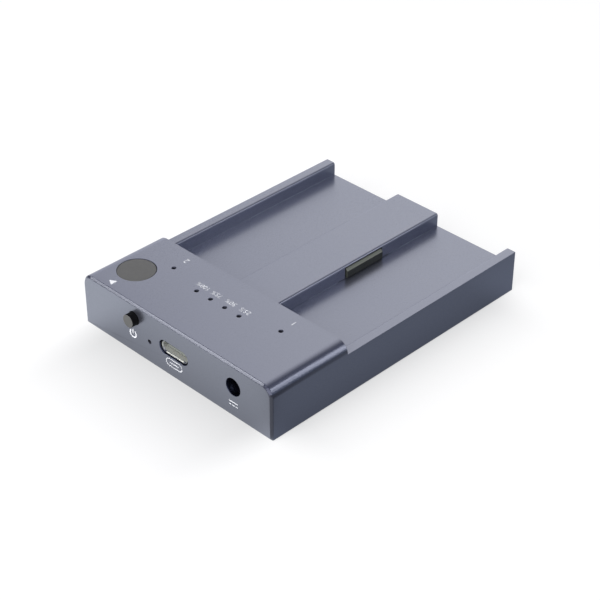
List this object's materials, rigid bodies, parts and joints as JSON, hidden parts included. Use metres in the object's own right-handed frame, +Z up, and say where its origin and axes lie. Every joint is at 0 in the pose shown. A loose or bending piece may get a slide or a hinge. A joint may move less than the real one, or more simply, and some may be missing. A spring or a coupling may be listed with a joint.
{
  "type": "drive duplicator",
  "caption": "Flat metal box with a closed port block and open channels behind it, in which bare flash drives lie for copying, with a flush start button and a power button.",
  "frame": {"origin": "middle of the whole part's footprint, the protruding power button included, on the surface that the feet stand on", "axes": "+X to the right as seen from the port face, +Y from the port face to the open end of the bays, +Z up"},
  "size_m": [0.065, 0.0864, 0.015],
  "materials": {
    "anodised_shell": "fine bead-blasted, anodised blue-grey",
    "anodised_cover": "anodised sheet",
    "foot_rubber": "matt black",
    "screw_steel": "nickel plated",
    "board_laminate": "green solder mask",
    "black_film": "thin polyester film",
    "black_moulding": "moulded black",
    "gold_contact": "gold plated",
    "tinned_steel": "tin plated drawn sheet",
    "button_plastic": "fine textured warm grey",
    "clamp_plastic": "moulded charcoal",
    "spring_steel": "bright strip",
    "clear_pipe": "clear polycarbonate",
    "led_body": "white base, clear top",
    "chip_black": "moulded package",
    "thermal_grey": "soft silicone",
    "ferrite_grey": "pressed powder",
    "can_aluminium": "drawn can",
    "ceramic_tan": "sintered ceramic"
  },
  "bodies": {
    "housing": {"top_shell": "anodised_shell", "bottom_cover": "anodised_cover", "rubber_feet": "foot_rubber", "cover_screws": "screw_steel", "main_board": "board_laminate", "board_screws": "screw_steel", "insulating_film": "black_film", "upper_board": "board_laminate", "upper_board_screws": "screw_steel", "link_header": "black_moulding", "link_pins": "gold_contact", "usb_c_shell": "tinned_steel", "usb_c_tongue": "black_moulding", "usb_c_contacts": "gold_contact", "dc_inlet_body": "black_moulding", "dc_inlet_pin": "tinned_steel", "dc_inlet_contacts": "tinned_steel", "start_switch_body": "black_moulding", "start_switch_dome": "spring_steel", "power_switch_body": "black_moulding", "power_switch_dome": "spring_steel", "power_switch_bracket": "tinned_steel", "progress_light_pipes": "clear_pipe", "bay_light_pipes": "clear_pipe", "power_light_pipe": "clear_pipe", "status_leds": "led_body", "power_led": "led_body", "clamp_holder": "black_moulding", "clamp_holder_screws": "screw_steel", "bridge_chips": "chip_black", "thermal_pads": "thermal_grey", "controller_chip": "chip_black", "flash_chips": "chip_black", "regulator_chips": "chip_black", "crystals": "tinned_steel", "power_inductors": "ferrite_grey", "filter_capacitors": "can_aluminium", "ceramic_capacitors": "ceramic_tan", "chip_resistors": "chip_black", "m2_connector_left": "black_moulding", "m2_connector_right": "black_moulding", "m2_contacts_left": "gold_contact", "m2_contacts_right": "gold_contact", "clamp_spring_left": "spring_steel", "clamp_spring_right": "spring_steel"},
    "start_key": {"start_button": "button_plastic", "start_switch_plunger": "black_moulding"},
    "power_key": {"power_button": "button_plastic", "power_switch_plunger": "black_moulding"},
    "left_clamp": {"clamp_left": "clamp_plastic"},
    "right_clamp": {"clamp_right": "clamp_plastic"}
  },
  "joints": [
    {"name": "start_press", "type": "slide", "parent": "housing", "child": "start_key", "axis": [0, 0, -1], "range_m": [0, 0.00035], "stiffness_N_per_m": 3000, "springref_m": -0.0001, "deforming": ["start_switch_dome"]},
    {"name": "power_press", "type": "slide", "parent": "housing", "child": "power_key", "axis": [0, 1, 0], "range_m": [0, 0.0005], "stiffness_N_per_m": 2500, "springref_m": -0.0001, "deforming": ["power_switch_dome"]},
    {"name": "left_clamp_slide", "type": "slide", "parent": "housing", "child": "left_clamp", "axis": [1, 0, 0], "range_m": [0, 0.0005], "stiffness_N_per_m": 1500, "springref_m": -0.0002, "deforming": ["clamp_spring_left"]},
    {"name": "right_clamp_slide", "type": "slide", "parent": "housing", "child": "right_clamp", "axis": [-1, 0, 0], "range_m": [0, 0.0005], "stiffness_N_per_m": 1500, "springref_m": -0.0002, "deforming": ["clamp_spring_right"]}
  ]
}
